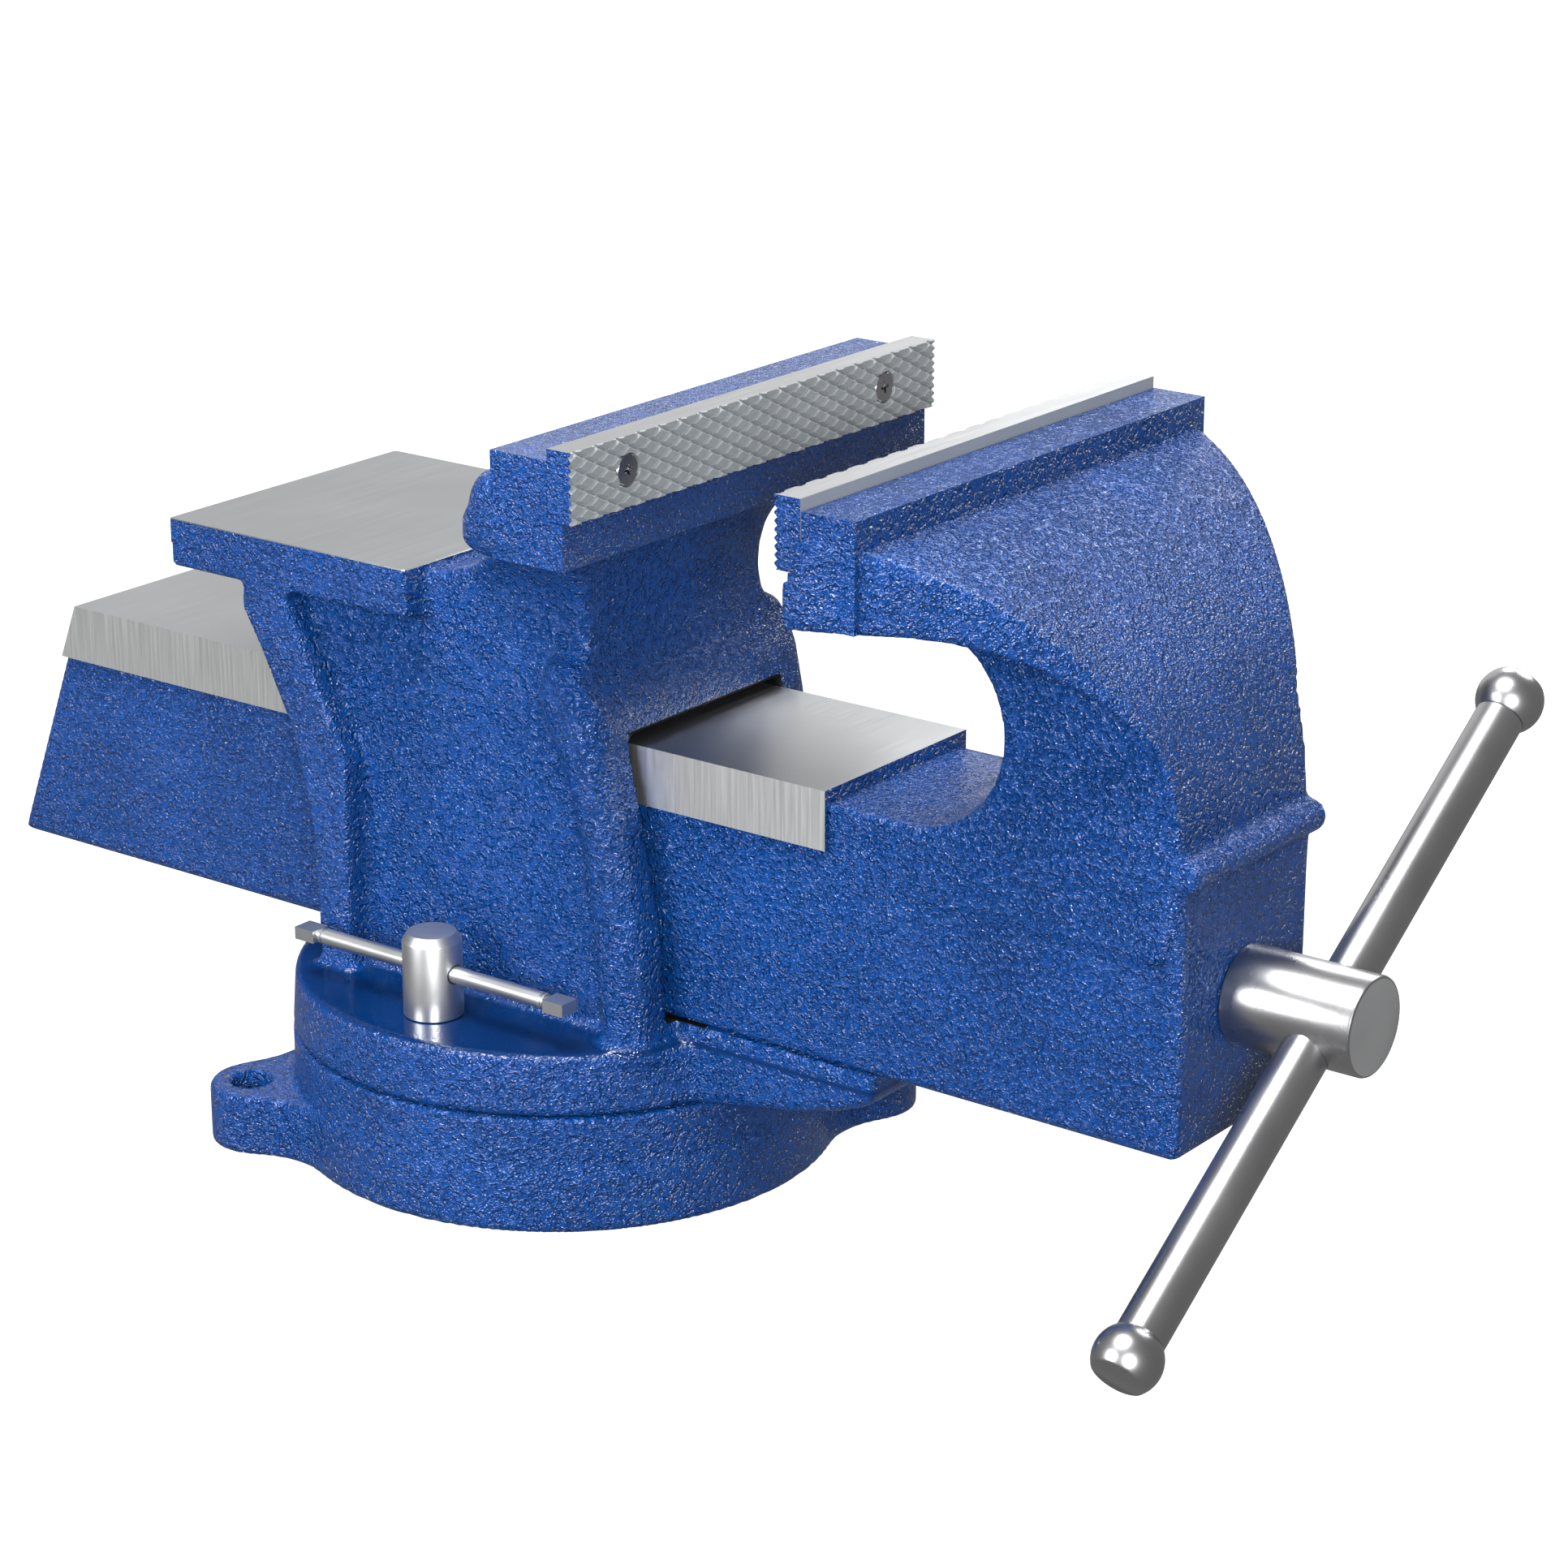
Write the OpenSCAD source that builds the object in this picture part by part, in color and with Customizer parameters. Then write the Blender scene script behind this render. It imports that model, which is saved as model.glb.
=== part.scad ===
// Bench vise on a swivel base: 200 mm jaws, an anvil, a channel slide and a locking swivel.
// Origin: the swivel axis where it meets the bench. +Z up, +X towards the screw handle.

/* [Jaws] */
// Width of both jaws
jaw_w = 200; // [180:5:205]
// Gap between the two jaw plates as drawn
opening = 81; // [60:1:100]
// Thickness of a jaw plate
plate_t = 10; // [8:0.5:10]
// Height of a jaw plate
plate_h = 24; // [20:1:26]
// How far a plate stands above its jaw
plate_proud = 4; // [2:0.5:6]
// Distance of each plate screw from the middle of the jaw
plate_screw_y = 70.7; // [60:0.1:75]

/* [Slide] */
// Width over the machined strips of the slide
slide_w = 81.4; // [80:0.1:81.6]
// Width of the painted part of the slide
slide_painted_w = 77.4; // [74:0.1:79]

/* [Screw] */
// Diameter of the screw
screw_d = 28; // [26:1:30]
// Diameter of the screw's head
head_d = 33.6; // [32:0.2:36]
// Diameter of the handle bar
handle_d = 16.5; // [14:0.5:18]
// Distance between the middles of the two handle balls
handle_span = 272; // [220:1:300]
// Diameter of a handle ball
ball_d = 22.8; // [21:0.1:26]
// Lean of the handle away from upright
handle_lean = 56.2; // [0:0.1:90]

/* [Base] */
// Diameter of the swivel base
base_d = 198; // [190:1:204]
// Height of the swivel base
base_h = 43; // [40:1:46]
// Diameter of the circle through the bench bolt holes
bench_pcd = 230; // [226:1:234]
// Diameter of a bench bolt hole
bench_hole_d = 15; // [13:0.5:16]
// Direction of the first lug
lug_angle = 45; // [30:1:60]
// Radius of the ring that the lock bolts run in
lock_r = 71.5; // [71:0.1:72]

/* [Hidden] */
$fn = 64;

paint = "royalblue";
steel = "silver";
dark_steel = "dimgray";

// Running gap between machined flat faces, and radial play of a turning fit
gap = 0.3;
play = 0.08;

// Levels
foot_z0 = base_h + gap;
foot_z1 = 65.7;
floor_z = 72.6;
slide_z0 = floor_z + gap;
strip_z = 149.2;
slide_top_z = 170.3;
slide_painted_z = 165.5;
jaw_under_z = 247.9;
plate_top_z = 288;
jaw_top_z = plate_top_z - plate_proud;
seat_z = plate_top_z - plate_h;
anvil_z0 = 203.4;
anvil_z1 = 221.3;
screw_z = 119.3;
neck_top_z = 249;
plate_screw_z = 276.4;
plate_screw_r = 3;
plate_screw_len = 24;
plate_screw_head_r = 5.7;
plate_screw_head_h = 6;
plate_screw_key = 2.9;

// Stations along the slide
fixed_x = 91;
moving_x = fixed_x + opening;
seat_step = 4;
jaw_back = 34;
front_x = moving_x + 113.4;
channel_end_x = moving_x + 83;
strip_end_x = moving_x - 24.3;
slide_rear_top_x = moving_x - 376.4;
slide_rear_low_x = moving_x - 414;
rear_strip_x = slide_rear_low_x + (strip_z - slide_z0) * 0.386;
anvil_x0 = -131.4;
anvil_x1 = -17.9;

// Half widths of the fixed body
panel_y = 49;
flange_y = 60.5;
ridge_y = 60;
cavity_y = slide_w / 2 + gap;

// Throat and back of the sliding jaw
throat_r = 35;
throat_x = moving_x + 9;
throat_z = slide_painted_z + throat_r;
back_r = 104;
back_x = moving_x + 7.7;
back_z = 172.3;
lip_r = 72.9;
lip_x = moving_x + 40.5;
lip_z = 175.6;
lip_low_z = 180;
cheek_r = 234.6;
cheek_x = moving_x - 68.1;
cheek_y = 115.5;
bead_r = 5.6;
bead_z = 169.7;

// Screw stations
thread_end_x = moving_x - 307;
head_x0 = front_x + gap;
head_x1 = front_x + 47.8;
handle_x = front_x + 30.6;
handle_r = handle_d / 2;
spring_x1 = channel_end_x - 0.1;
spring_len = 24;
washer_x = spring_x1 - spring_len;
washer_t = 4;
pin_x = washer_x - washer_t - 2.7;
pin_d = 5;
nut_x = 35;
nut_bolt_x = 22;
nut_seat_z = 53.3;
nut_r = 23;
nut_half_w = 22;
nut_hole_depth = 23;
nut_bolt_r = 6;
nut_bolt_len = 40;
nut_bolt_head_r = 10.4;
nut_bolt_head_h = 7.5;
nut_counterbore_r = 11.5;
channel_y = 27;

// Handle
ball_inner = 7.8;
ball_outer = 7.1;
stub_d = 10;
stub_len = 2;

// Swivel lock
lug_r = 18;
lug_reach = 112;
lug_h = 23;
lug_fillet = 25;
lock_d = 21.2;
lock_z1 = 96.5;
lock_chamfer = 2.2;
lock_bar_z = 82.5;
lock_bar_d = 6;
lock_bar_len = 124.5;
lock_tip_len = 9;
lock_neck_len = 2.5;
lock_bolt_d = 12;
t_head = 22;
t_slot_z0 = 12;
t_slot_z1 = 27;
t_slot_half_w = 12.5;
t_neck_half_w = 6.3;
t_pocket_r = 16;
pivot_d = 16;
pivot_web_z = 22;
pivot_recess_r = 50;
pivot_head_r = 13.8;
pivot_head_h = 10;
pivot_washer_r = 21;
pivot_washer_t = 3;
pivot_washer_z = pivot_web_z - gap + 0.1 - pivot_washer_t;

// Extrudes an outline drawn in X and Z by a half width to both sides
module across(half_w) {
    rotate([90, 0, 0]) linear_extrude(2 * half_w, center = true) children();
}

// Extrudes an outline drawn in Y and Z from x0 to x1
module along(x0, x1) {
    translate([x0, 0, 0]) rotate([90, 0, 90]) linear_extrude(x1 - x0) children();
}

// Extrudes an outline drawn in X and Y from z0 to z1
module upright(z0, z1) {
    translate([0, 0, z0]) linear_extrude(z1 - z0) children();
}

// A round bar along X
module bar_x(x0, x1, r) {
    translate([x0, 0, 0]) rotate([0, 90, 0]) cylinder(h = x1 - x0, r = r);
}

// Quarter of an ellipse, from (y0, z0) rising steeply to (y1, z1) level
function flare(y0, z0, y1, z1, steps = 10) = [
    for (i = [0:steps]) let (a = 90 * i / steps)
        [y0 + (y1 - y0) * (1 - cos(a)), z0 + (z1 - z0) * sin(a)]
];

// The same outline mirrored about the middle plane
function mirrored(points) = [for (i = [len(points) - 1:-1:0]) [-points[i][0], points[i][1]]];

// Outline of a neck: narrow below, flared out to a jaw above
module neck_outline(y0, z0, y1, z1, low, high) {
    curve = flare(y0, z0, y1, z1);
    polygon(concat([[y0, low]], curve, [[y1, high]], mirrored(concat([[y0, low]], curve, [[y1, high]]))));
}

// ---------------------------------------------------------------- swivel base

// Outline of the base with its two lugs and their fillets
module base_outline() {
    base_r = base_d / 2;
    to_base = base_r + lug_fillet;
    to_lug = lug_r + lug_fillet;
    fillet_x = (to_base * to_base - to_lug * to_lug + lug_reach * lug_reach) / (2 * lug_reach);
    fillet_y = sqrt(to_base * to_base - fillet_x * fillet_x);
    circle(base_r, $fn = 120);
    for (a = [0, 180]) rotate(lug_angle + a) {
        translate([lug_reach, 0]) circle(lug_r);
        difference() {
            polygon([[0, 0], [fillet_x, fillet_y], [lug_reach, 0], [fillet_x, -fillet_y]]);
            for (s = [-1, 1]) translate([fillet_x, s * fillet_y]) circle(lug_fillet);
        }
    }
}

module swivel_base() {
    color(paint) difference() {
        union() {
            cylinder(h = base_h, r = base_d / 2, $fn = 120);
            linear_extrude(lug_h) base_outline();
        }
        for (a = [0, 180]) rotate(lug_angle + a)
            translate([bench_pcd / 2, 0, -1]) cylinder(h = lug_h + 2, d = bench_hole_d);
        // T-shaped ring slot for the heads of the lock bolts
        translate([0, 0, t_slot_z0])
            ring(t_slot_z1 - t_slot_z0, lock_r - t_slot_half_w, lock_r + t_slot_half_w);
        translate([0, 0, t_slot_z1 - 1]) ring(base_h, lock_r - t_neck_half_w, lock_r + t_neck_half_w);
        // Pocket where a bolt's head is dropped into the slot
        translate([lock_r, 0, t_slot_z0]) cylinder(h = base_h, r = t_pocket_r);
        // Recess and bore for the pivot bolt
        translate([0, 0, -1]) cylinder(h = pivot_web_z + 1, r = pivot_recess_r);
        translate([0, 0, -1]) cylinder(h = base_h + 2, r = pivot_d / 2 + play);
    }
}

module ring(h, r0, r1) {
    difference() {
        cylinder(h = h, r = r1, $fn = 120);
        translate([0, 0, -1]) cylinder(h = h + 2, r = r0, $fn = 120);
    }
}

// ---------------------------------------------------------------- fixed jaw

// Front edge of the body, from the foot up to the underside of the jaw
function body_front() = [
    [82.3, foot_z1 - 1], [80, 105], [75, 131], [70, 150], [67, 171], [65, 181], [59.3, 190.3], [54.5, 200],
    [53, 210], [53.4, 219.5], [55.5, 230], [61, 240], [70, 246], [fixed_x - seat_step, jaw_under_z]
];

// Rear edge of the body, from the anvil down to the foot
function body_rear() = [
    [-102.3, anvil_z0], [-95, 188], [-82, 169], [-73, 150], [-67.5, 125], [-64.5, 95], [-64, foot_z1 - 1]
];

// Whole side outline of the body below the jaw
module body_side_outline() {
    polygon(concat(body_front(), [[fixed_x - seat_step, 262], [40, 262], [38.5, 252], [26, 240],
                                  [5, 226], [-20, anvil_z1 - 1], [-20, anvil_z0]], body_rear()));
}

// Rear flange beside the slide, in side view
module flange_outline() {
    polygon(concat([[-50.4, foot_z1 - 1], [-49.4, 146], [-54, 157], [-74.7, 199], [-72, anvil_z0]],
                   body_rear()));
}

// Rounded ridge at the front edge of the body, in side view
module ridge_outline() {
    polygon([[82.3, foot_z1 - 1], [80, 105], [75, 131], [70, 150], [67, 171], [65, 181], [59, 190], [50, 196],
             [41, 195], [36, 188], [37, 180], [47.5, 155], [54, 130], [58.5, 101], [61, foot_z1 - 1]]);
}

// Plan of the neck between the anvil and the jaw
module neck_plan() {
    polygon([[fixed_x, -jaw_w / 2], [38.5, -jaw_w / 2], [22, -78], [-4, -47], [-20, -28],
             [-20, 28], [-4, 47], [22, 78], [38.5, jaw_w / 2], [fixed_x, jaw_w / 2]]);
}

// Rear shoulder that backs the full width of the jaw
module shoulder() {
    corner = 14;
    intersection() {
        upright(jaw_under_z, jaw_top_z) hull() {
            for (s = [-1, 1]) {
                translate([38.5 + corner, s * (jaw_w / 2 - corner)]) circle(corner, $fn = 32);
                translate([fixed_x - seat_step - 8, s * (jaw_w / 2 - 4) - 4]) square(8);
            }
        }
        across(jaw_w / 2) union() {
            translate([58.5, 254]) circle(20);
            translate([40, 240]) square([40, 20]);
        }
    }
}

module jaw_block(x_back, x_face, x_seat, z0) {
    difference() {
        translate([min(x_back, x_face), -jaw_w / 2, z0])
            cube([abs(x_face - x_back), jaw_w, jaw_top_z - z0]);
        translate([min(x_seat, x_face) - (x_seat < x_face ? 0 : 1), -jaw_w / 2 - 1, seat_z])
            cube([abs(x_face - x_seat) + 1, jaw_w + 2, plate_h + 1]);
    }
}

module fixed_jaw_body() {
    color(paint) difference() {
        union() {
            translate([0, 0, foot_z0]) cylinder(h = foot_z1 - foot_z0, r = base_d / 2, $fn = 120);
            tongue();
            across(panel_y) body_side_outline();
            across(flange_y) flange_outline();
            across(ridge_y) ridge_outline();
            translate([anvil_x0, -flange_y, anvil_z0])
                cube([anvil_x1 - anvil_x0, 2 * flange_y, anvil_z1 - anvil_z0]);
            intersection() {
                across(jaw_w / 2) body_side_outline();
                along(-21, fixed_x) neck_outline(panel_y, 215, jaw_w / 2, neck_top_z, anvil_z0, 270);
                upright(anvil_z0, neck_top_z) neck_plan();
            }
            shoulder();
            jaw_block(57, fixed_x - seat_step, fixed_x - plate_t, jaw_under_z);
        }
        slide_cavity();
        body_bores();
    }
}

// Support for the slide that runs forward from the foot
module tongue() {
    nose = 9;
    tongue_x = 166;
    across(slide_painted_w / 2) union() {
        polygon([[30, foot_z0], [93.5, foot_z0], [110, 46.3], [128, 49.2], [148, 54.5],
                 [tongue_x - nose, floor_z - 2 * nose + 3], [tongue_x, floor_z - nose + 3],
                 [tongue_x, floor_z], [30, floor_z]]);
        translate([tongue_x - nose, floor_z - nose + 1]) circle(nose - 1);
    }
}

// Passage for the slide, with a wider round-cornered mouth at the front
module slide_cavity() {
    mouth_r = 5;
    mouth_y = cavity_y + 1.7;
    roof_z = slide_top_z + gap;
    mouth_z = roof_z + 2.7;
    translate([-120, -cavity_y, floor_z]) cube([260, 2 * cavity_y, roof_z - floor_z]);
    along(56, 116) union() {
        translate([-mouth_y, floor_z]) square([2 * mouth_y, mouth_z - mouth_r - floor_z]);
        translate([-mouth_y + mouth_r, floor_z]) square([2 * (mouth_y - mouth_r), mouth_z - floor_z]);
        for (s = [-1, 1]) translate([s * (mouth_y - mouth_r), mouth_z - mouth_r]) circle(mouth_r);
    }
}

module body_bores() {
    for (s = [-1, 1]) {
        translate([0, s * lock_r, foot_z0 - 1]) cylinder(h = 30, d = lock_bolt_d + 0.5);
        // Plate screws
        translate([fixed_x - plate_screw_len - 7, s * plate_screw_y, plate_screw_z])
            bar_x(0, plate_screw_len + 6, plate_screw_r + play);
    }
    translate([0, 0, foot_z0 - 1]) cylinder(h = 20, r = pivot_d / 2 + play);
    for (s = [-1, 1]) translate([s * nut_bolt_x, 0, foot_z0 - 1]) {
        cylinder(h = nut_seat_z - foot_z0 + 1, r = nut_counterbore_r);
        cylinder(h = nut_bolt_len, r = nut_bolt_r + gap);
    }
}

module fixed_jaw_plate() {
    color(steel) jaw_plate(fixed_x, -1);
}

// A hardened plate: its face at x_face, its body on the side given by dir
module jaw_plate(x_face, dir) {
    difference() {
        translate([dir > 0 ? x_face : x_face - plate_t, -jaw_w / 2, seat_z])
            cube([plate_t, jaw_w, plate_h]);
        for (s = [-1, 1]) translate([x_face, s * plate_screw_y, plate_screw_z]) {
            bar_x(-2 * plate_t, 2 * plate_t, plate_screw_r + play);
            mirror([dir > 0 ? 0 : 1, 0, 0])
                bar_x(-1, plate_screw_head_h + 0.1, plate_screw_head_r + 0.1);
        }
    }
}

// Two cap screws that hold a jaw plate, heads just below its face
module plate_screws(x_face, dir) {
    for (s = [-1, 1]) translate([x_face, s * plate_screw_y, plate_screw_z])
        mirror([dir > 0 ? 0 : 1, 0, 0]) difference() {
            union() {
                bar_x(0.4, plate_screw_head_h, plate_screw_head_r);
                bar_x(plate_screw_head_h - 1, plate_screw_len, plate_screw_r);
            }
            bar_x(0, plate_screw_head_h - 2.6, plate_screw_key, $fn = 6);
        }
}

module fixed_jaw_screws() {
    color(steel) plate_screws(fixed_x, -1);
}

module spindle_nut() {
    color(dark_steel) difference() {
        union() {
            translate([0, 0, screw_z]) bar_x(-nut_x, nut_x, nut_r);
            translate([-nut_x, -nut_half_w, floor_z]) cube([2 * nut_x, 2 * nut_half_w, screw_z - floor_z]);
        }
        translate([0, 0, screw_z]) bar_x(-nut_x - 1, nut_x + 1, screw_d / 2 + play);
        for (s = [-1, 1]) translate([s * nut_bolt_x, 0, floor_z - 1])
            cylinder(h = nut_hole_depth, r = nut_bolt_r + play);
    }
}

module spindle_nut_bolts() {
    color(dark_steel) for (s = [-1, 1]) translate([s * nut_bolt_x, 0, nut_seat_z]) {
        translate([0, 0, -nut_bolt_head_h]) cylinder(h = nut_bolt_head_h, r = nut_bolt_head_r, $fn = 6);
        translate([0, 0, -1]) cylinder(h = nut_bolt_len, r = nut_bolt_r);
    }
}

module pivot_bolt() {
    color(dark_steel) {
        translate([0, 0, pivot_washer_z - pivot_head_h])
            cylinder(h = pivot_head_h, r = pivot_head_r, $fn = 6);
        translate([0, 0, 18]) cylinder(h = base_h, d = pivot_d);
    }
}

module pivot_washer() {
    color(steel) difference() {
        translate([0, 0, pivot_washer_z]) cylinder(h = pivot_washer_t, r = pivot_washer_r);
        cylinder(h = 40, r = pivot_d / 2 + play);
    }
}

// T-headed bolt from the ring slot in the base up into the lock nut
module lock_bolt(side) {
    translate([0, side * lock_r, 0]) {
        translate([-t_head / 2, -t_head / 2, t_slot_z1 - gap - 9]) cube([t_head, t_head, 9]);
        translate([0, 0, t_slot_z1 - 1]) cylinder(h = 77 - t_slot_z1 + 1, d = lock_bolt_d);
    }
}

// Round lock nut with a cross hole for its bar
module lock_nut(side) {
    r = lock_d / 2;
    translate([0, side * lock_r, 0]) difference() {
        rotate_extrude() polygon([[0, foot_z1 + 0.2], [r, foot_z1 + 0.2], [r, lock_z1 - lock_chamfer - 1],
                                  [r - lock_chamfer, lock_z1], [0, lock_z1]]);
        translate([0, 0, foot_z1 - 1]) cylinder(h = 78 - foot_z1 + 1, r = lock_bolt_d / 2 + play);
        translate([0, 0, lock_bar_z]) bar_x(-20, 20, lock_bar_d / 2 + play);
    }
}

// Sliding bar of a lock nut, with a neck and a flattened tip at each end
module lock_bar(side) {
    half = lock_bar_len / 2;
    shank = half - lock_tip_len - lock_neck_len;
    translate([0, side * lock_r, lock_bar_z]) {
        bar_x(-shank, shank, lock_bar_d / 2);
        bar_x(-half + 2, half - 2, 2);
        for (s = [-1, 1]) translate([s * (half - lock_tip_len / 2), 0, 0])
            cube([lock_tip_len, 8, 4.8], center = true);
    }
}

module lock_bolt_near() { color(dark_steel) lock_bolt(-1); }
module lock_bolt_far() { color(dark_steel) lock_bolt(1); }
module lock_nut_near() { color(steel) lock_nut(-1); }
module lock_nut_far() { color(steel) lock_nut(1); }
module lock_bar_near() { color(steel) lock_bar(-1); }
module lock_bar_far() { color(steel) lock_bar(1); }

// ---------------------------------------------------------------- sliding jaw

// Side outline of the slide and its upright arm, with the round throat cut out
module arm_side_outline() {
    difference() {
        union() {
            polygon([[slide_rear_low_x, slide_z0], [front_x, slide_z0], [front_x, bead_z + 4],
                     [strip_end_x, slide_painted_z + 10], [strip_end_x, strip_z],
                     [rear_strip_x, strip_z]]);
            intersection() {
                translate([back_x, back_z]) circle(back_r, $fn = 120);
                translate([moving_x + 5, slide_painted_z]) square([120, 110]);
            }
        }
        translate([throat_x, throat_z]) circle(throat_r);
        translate([strip_end_x - 1, slide_painted_z]) square([throat_x - strip_end_x + 1, 2 * throat_r]);
    }
}

// Plan of the arm: wide at the jaw, closing to the width of the slide
module arm_plan() {
    intersection() {
        translate([cheek_x, -cheek_y]) circle(cheek_r, $fn = 160);
        translate([cheek_x, cheek_y]) circle(cheek_r, $fn = 160);
        translate([moving_x + 5, -jaw_w / 2 + 2]) square([130, jaw_w - 4]);
    }
    translate([slide_rear_low_x - 1, -slide_painted_w / 2])
        square([front_x - slide_rear_low_x + 1, slide_painted_w]);
}

// Side outline of the curved lip that carries the jaw's width round the back of the arm
module lip_outline() {
    difference() {
        intersection() {
            translate([back_x, back_z]) circle(back_r, $fn = 120);
            translate([moving_x + plate_t + 10, lip_low_z]) square([120, 110]);
        }
        translate([lip_x, lip_z]) circle(lip_r, $fn = 120);
    }
}

module sliding_jaw_body() {
    color(paint) difference() {
        union() {
            intersection() {
                across(jaw_w / 2) arm_side_outline();
                along(slide_rear_low_x - 1, front_x + 1)
                    neck_outline(slide_painted_w / 2, 224, jaw_w / 2, jaw_under_z, slide_z0 - 1, 290);
                upright(slide_z0 - 1, 290) arm_plan();
            }
            intersection() {
                across(jaw_w / 2) lip_outline();
                upright(lip_low_z, 290) arm_plan();
            }
            across(slide_w / 2) polygon([[rear_strip_x, strip_z],
                                         [strip_end_x, strip_z], [strip_end_x, slide_top_z],
                                         [slide_rear_top_x, slide_top_z]]);
            jaw_block(moving_x + jaw_back - 3.5, moving_x + seat_step + 1, moving_x + plate_t, jaw_under_z);
            translate([front_x, 0, bead_z]) rotate([90, 0, 0])
                cylinder(h = slide_painted_w + 2, r = bead_r, center = true);
        }
        // Open underside of the slide
        translate([slide_rear_low_x - 1, -channel_y, slide_z0 - 1])
            cube([channel_end_x - slide_rear_low_x + 1, 2 * channel_y, 81]);
        translate([0, 0, screw_z]) bar_x(channel_end_x - 1, front_x + 10, screw_d / 2 + play);
        for (s = [-1, 1]) translate([moving_x, s * plate_screw_y, plate_screw_z])
            bar_x(0, plate_screw_len + 2, plate_screw_r + play);
        // Seat of the plate
        translate([moving_x - 1, -jaw_w / 2 - 1, seat_z])
            cube([plate_t + 1, jaw_w + 2, plate_h + 1]);
    }
}

module sliding_jaw_plate() {
    color(steel) jaw_plate(moving_x, 1);
}

module sliding_jaw_screws() {
    color(steel) plate_screws(moving_x, 1);
}

// ---------------------------------------------------------------- screw and handle

module spindle() {
    color(steel) difference() {
        union() {
            translate([0, 0, screw_z]) bar_x(thread_end_x, head_x0 + 1, screw_d / 2);
            translate([0, 0, screw_z]) bar_x(head_x0, head_x1 - 1.2, head_d / 2);
            translate([head_x1 - 1.2, 0, screw_z]) rotate([0, 90, 0])
                cylinder(h = 1.2, r1 = head_d / 2, r2 = head_d / 2 - 1.2);
        }
        translate([handle_x, 0, screw_z]) rotate([-handle_lean, 0, 0])
            cylinder(h = head_d + 4, r = handle_r + play, center = true);
        translate([pin_x, 0, screw_z]) cylinder(h = screw_d + 4, r = pin_d / 2 + 0.05, center = true);
    }
}

// One ring of points around the spring's wire at a given turn
function wire_ring(turn, coil_r, wire_r, pitch, x0, sides) = [
    for (j = [0:sides - 1]) let (a = 360 * turn, b = 360 * j / sides, r = coil_r + wire_r * cos(b))
        [x0 + pitch * turn + wire_r * sin(b), r * sin(a), r * cos(a)]
];

module spindle_spring() {
    turns = 4;
    steps = 18;
    sides = 8;
    wire_r = 2.2;
    coil_r = 17.8;
    last = turns * steps;
    pitch = (spring_len - 2 * wire_r - gap) / turns;
    x0 = washer_x + wire_r + gap;
    points = [for (i = [0:last]) each wire_ring(i / steps, coil_r, wire_r, pitch, x0, sides)];
    walls = [for (i = [0:last - 1], j = [0:sides - 1]) let (k = (j + 1) % sides)
        each [[i * sides + j, (i + 1) * sides + k, i * sides + k],
              [i * sides + j, (i + 1) * sides + j, (i + 1) * sides + k]]];
    ends = [[for (j = [0:sides - 1]) j], [for (j = [sides - 1:-1:0]) last * sides + j]];
    color(dark_steel) translate([0, 0, screw_z])
        polyhedron(points = points, faces = concat(walls, ends), convexity = 8);
}

module spindle_washer() {
    color(steel) translate([0, 0, screw_z]) difference() {
        bar_x(washer_x - washer_t, washer_x - 0.02, 22);
        bar_x(washer_x - washer_t - 1, washer_x + 1, screw_d / 2 + play);
    }
}

module spindle_pin() {
    color(steel) translate([pin_x, 0, screw_z]) cylinder(h = 40, d = pin_d, center = true);
}

// Places its children along the leaning handle, with the handle's axis as Z
module on_handle() {
    translate([handle_x, 0, screw_z]) rotate([-handle_lean, 0, 0]) children();
}

module handle_bar() {
    reach = handle_span / 2 - ball_inner;
    color(steel) on_handle() {
        cylinder(h = 2 * reach, r = handle_r, center = true);
        cylinder(h = handle_span + 2 * stub_len, d = stub_d, center = true);
    }
}

// A threaded ball with a flat at both ends; side is +1 for the upper end
module handle_ball(side) {
    color(steel) on_handle() translate([0, 0, side * handle_span / 2]) mirror([0, 0, side > 0 ? 0 : 1])
        difference() {
            intersection() {
                sphere(d = ball_d);
                translate([0, 0, -ball_inner]) cylinder(h = ball_inner + ball_outer, r = ball_d);
            }
            translate([0, 0, -ball_inner - 1])
                cylinder(h = ball_inner + 1 + stub_len + 0.1, d = stub_d + 0.1);
        }
}

module handle_ball_upper() { handle_ball(1); }
module handle_ball_lower() { handle_ball(-1); }

swivel_base();
fixed_jaw_body();
fixed_jaw_plate();
fixed_jaw_screws();
spindle_nut();
spindle_nut_bolts();
pivot_bolt();
pivot_washer();
lock_bolt_near();
lock_bolt_far();
lock_nut_near();
lock_nut_far();
lock_bar_near();
lock_bar_far();
sliding_jaw_body();
sliding_jaw_plate();
sliding_jaw_screws();
spindle();
spindle_spring();
spindle_washer();
spindle_pin();
handle_bar();
handle_ball_upper();
handle_ball_lower();
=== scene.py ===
"""Looks for the bench vise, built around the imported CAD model. Lengths here are in millimetres
until a mesh is made, and then in metres, in the CAD model's own frame."""

import math

import bmesh
import bpy
import numpy as np
import openvdb
from mathutils import Matrix, Vector


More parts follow.
